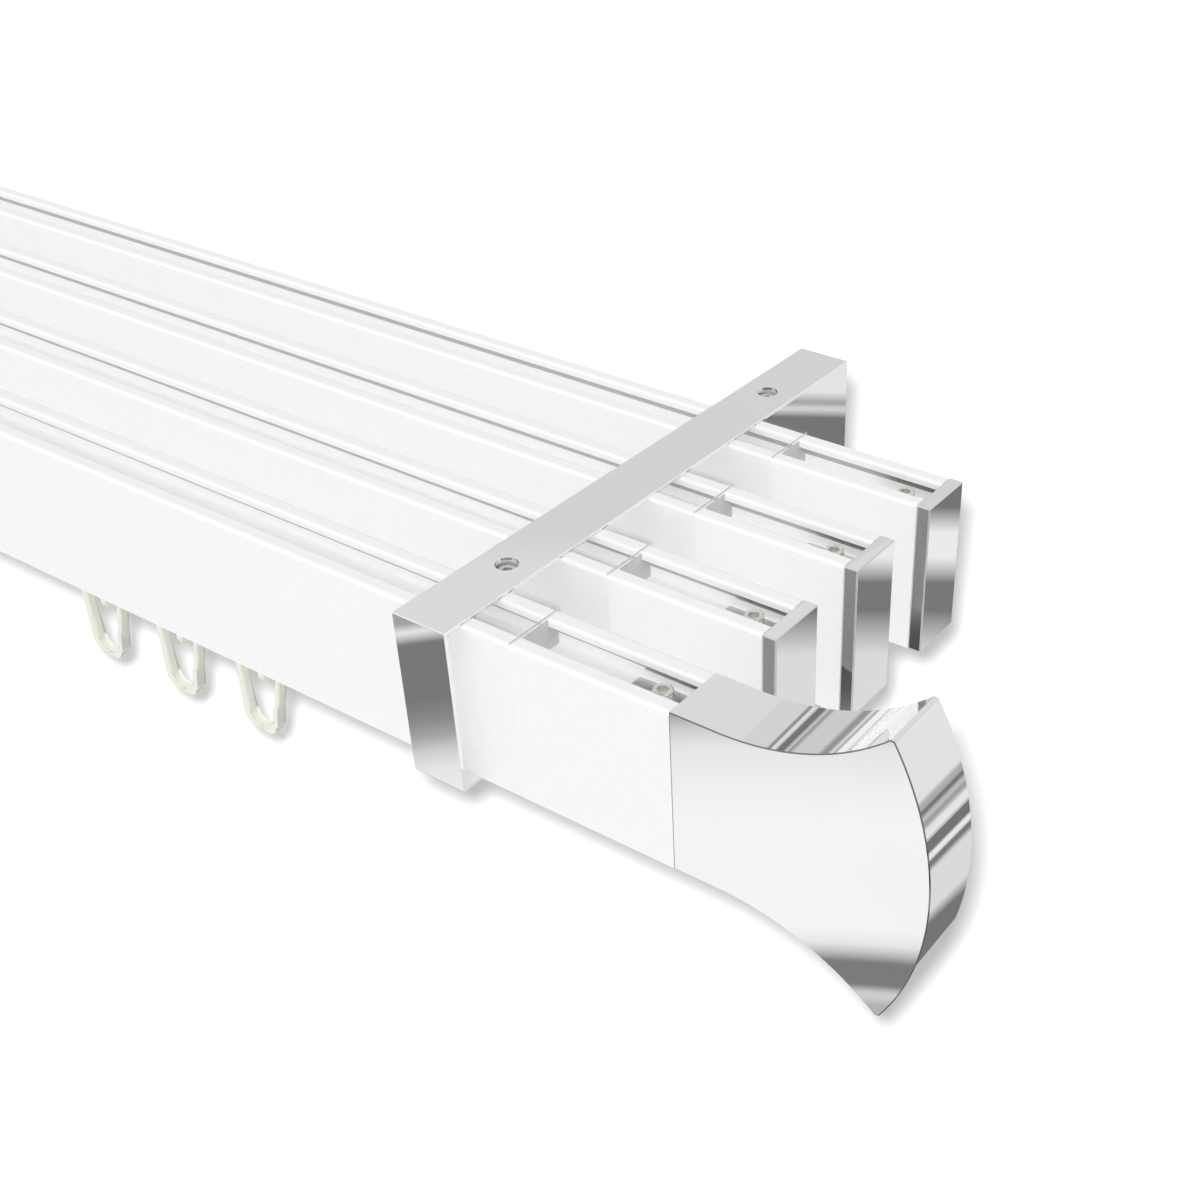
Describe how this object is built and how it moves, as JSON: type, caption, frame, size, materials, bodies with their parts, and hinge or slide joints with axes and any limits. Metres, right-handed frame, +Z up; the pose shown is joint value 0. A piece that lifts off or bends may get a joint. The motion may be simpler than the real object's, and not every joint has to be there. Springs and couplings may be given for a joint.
{
  "type": "curtain track",
  "caption": "Ceiling curtain track with slotted white rails under chrome strap brackets, clear hanger clips, flared end pieces, and sliding gliders with hanging hooks.",
  "frame": {"origin": "ceiling plane at the middle of the rectangle of four ceiling screw holes in the two brackets", "axes": "+X along the rails towards the right end, +Y from the front rail to the rear, +Z up to the ceiling"},
  "size_m": [0.7022, 0.1376, 0.0709],
  "materials": {
    "rail_white": "white satin powder coat",
    "bracket_chrome": "polished chrome plate",
    "end_chrome": "polished chrome plate",
    "clip_clear": "clear moulded plastic",
    "glider_ivory": "ivory moulded plastic",
    "hook_ivory": "ivory moulded plastic",
    "fixing_steel": "zinc-plated steel"
  },
  "bodies": {
    "track": {"rail_1": "rail_white", "rail_2": "rail_white", "rail_3": "rail_white", "rail_4": "rail_white", "bracket_right": "bracket_chrome", "bracket_left": "bracket_chrome", "clip_right_1": "clip_clear", "clip_right_2": "clip_clear", "clip_right_3": "clip_clear", "clip_right_4": "clip_clear", "clip_left_1": "clip_clear", "clip_left_2": "clip_clear", "clip_left_3": "clip_clear", "clip_left_4": "clip_clear", "finial_right": "end_chrome", "finial_left": "end_chrome", "end_cap_2_right": "end_chrome", "end_cap_3_right": "end_chrome", "end_cap_4_right": "end_chrome", "end_cap_2_left": "end_chrome", "end_cap_3_left": "end_chrome", "end_cap_4_left": "end_chrome", "hanger_pins": "fixing_steel", "set_screws": "fixing_steel"},
    "glider_1_1": {"glider_1_1": "glider_ivory"},
    "hook_1_1": {"hook_1_1": "hook_ivory"},
    "glider_1_2": {"glider_1_2": "glider_ivory"},
    "hook_1_2": {"hook_1_2": "hook_ivory"},
    "glider_1_3": {"glider_1_3": "glider_ivory"},
    "hook_1_3": {"hook_1_3": "hook_ivory"},
    "glider_2_1": {"glider_2_1": "glider_ivory"},
    "hook_2_1": {"hook_2_1": "hook_ivory"},
    "glider_2_2": {"glider_2_2": "glider_ivory"},
    "hook_2_2": {"hook_2_2": "hook_ivory"},
    "glider_3_1": {"glider_3_1": "glider_ivory"},
    "hook_3_1": {"hook_3_1": "hook_ivory"},
    "glider_3_2": {"glider_3_2": "glider_ivory"},
    "hook_3_2": {"hook_3_2": "hook_ivory"},
    "glider_4_1": {"glider_4_1": "glider_ivory"},
    "hook_4_1": {"hook_4_1": "hook_ivory"},
    "glider_4_2": {"glider_4_2": "glider_ivory"},
    "hook_4_2": {"hook_4_2": "hook_ivory"}
  },
  "joints": [
    {"name": "glider_1_1_slide", "type": "slide", "parent": "track", "child": "glider_1_1", "axis": [1, 0, 0], "range_m": [-0.005, 0.109]},
    {"name": "hook_1_1_swing", "type": "hinge", "parent": "glider_1_1", "child": "hook_1_1", "pos_m": [0.1854, -0.0572, -0.0421], "axis": [1, 0, 0], "range_deg": [-30, 30]},
    {"name": "glider_1_2_slide", "type": "slide", "parent": "track", "child": "glider_1_2", "axis": [1, 0, 0], "range_m": [-0.005, 0.005]},
    {"name": "hook_1_2_swing", "type": "hinge", "parent": "glider_1_2", "child": "hook_1_2", "pos_m": [0.1593, -0.0572, -0.0421], "axis": [1, 0, 0], "range_deg": [-30, 30]},
    {"name": "glider_1_3_slide", "type": "slide", "parent": "track", "child": "glider_1_3", "axis": [1, 0, 0], "range_m": [-0.42, 0.005]},
    {"name": "hook_1_3_swing", "type": "hinge", "parent": "glider_1_3", "child": "hook_1_3", "pos_m": [0.1332, -0.0572, -0.0421], "axis": [1, 0, 0], "range_deg": [-30, 30]},
    {"name": "glider_2_1_slide", "type": "slide", "parent": "track", "child": "glider_2_1", "axis": [1, 0, 0], "range_m": [-0.085, 0.19]},
    {"name": "hook_2_1_swing", "type": "hinge", "parent": "glider_2_1", "child": "hook_2_1", "pos_m": [0.1, -0.0292, -0.0421], "axis": [1, 0, 0], "range_deg": [-30, 30]},
    {"name": "glider_2_2_slide", "type": "slide", "parent": "track", "child": "glider_2_2", "axis": [1, 0, 0], "range_m": [-0.19, 0.085]},
    {"name": "hook_2_2_swing", "type": "hinge", "parent": "glider_2_2", "child": "hook_2_2", "pos_m": [-0.1, -0.0292, -0.0421], "axis": [1, 0, 0], "range_deg": [-30, 30]},
    {"name": "glider_3_1_slide", "type": "slide", "parent": "track", "child": "glider_3_1", "axis": [1, 0, 0], "range_m": [-0.085, 0.19]},
    {"name": "hook_3_1_swing", "type": "hinge", "parent": "glider_3_1", "child": "hook_3_1", "pos_m": [0.1, -0.0012, -0.0421], "axis": [1, 0, 0], "range_deg": [-30, 30]},
    {"name": "glider_3_2_slide", "type": "slide", "parent": "track", "child": "glider_3_2", "axis": [1, 0, 0], "range_m": [-0.19, 0.085]},
    {"name": "hook_3_2_swing", "type": "hinge", "parent": "glider_3_2", "child": "hook_3_2", "pos_m": [-0.1, -0.0012, -0.0421], "axis": [1, 0, 0], "range_deg": [-30, 30]},
    {"name": "glider_4_1_slide", "type": "slide", "parent": "track", "child": "glider_4_1", "axis": [1, 0, 0], "range_m": [-0.085, 0.19]},
    {"name": "hook_4_1_swing", "type": "hinge", "parent": "glider_4_1", "child": "hook_4_1", "pos_m": [0.1, 0.0268, -0.0421], "axis": [1, 0, 0], "range_deg": [-30, 30]},
    {"name": "glider_4_2_slide", "type": "slide", "parent": "track", "child": "glider_4_2", "axis": [1, 0, 0], "range_m": [-0.19, 0.085]},
    {"name": "hook_4_2_swing", "type": "hinge", "parent": "glider_4_2", "child": "hook_4_2", "pos_m": [-0.1, 0.0268, -0.0421], "axis": [1, 0, 0], "range_deg": [-30, 30]}
  ]
}
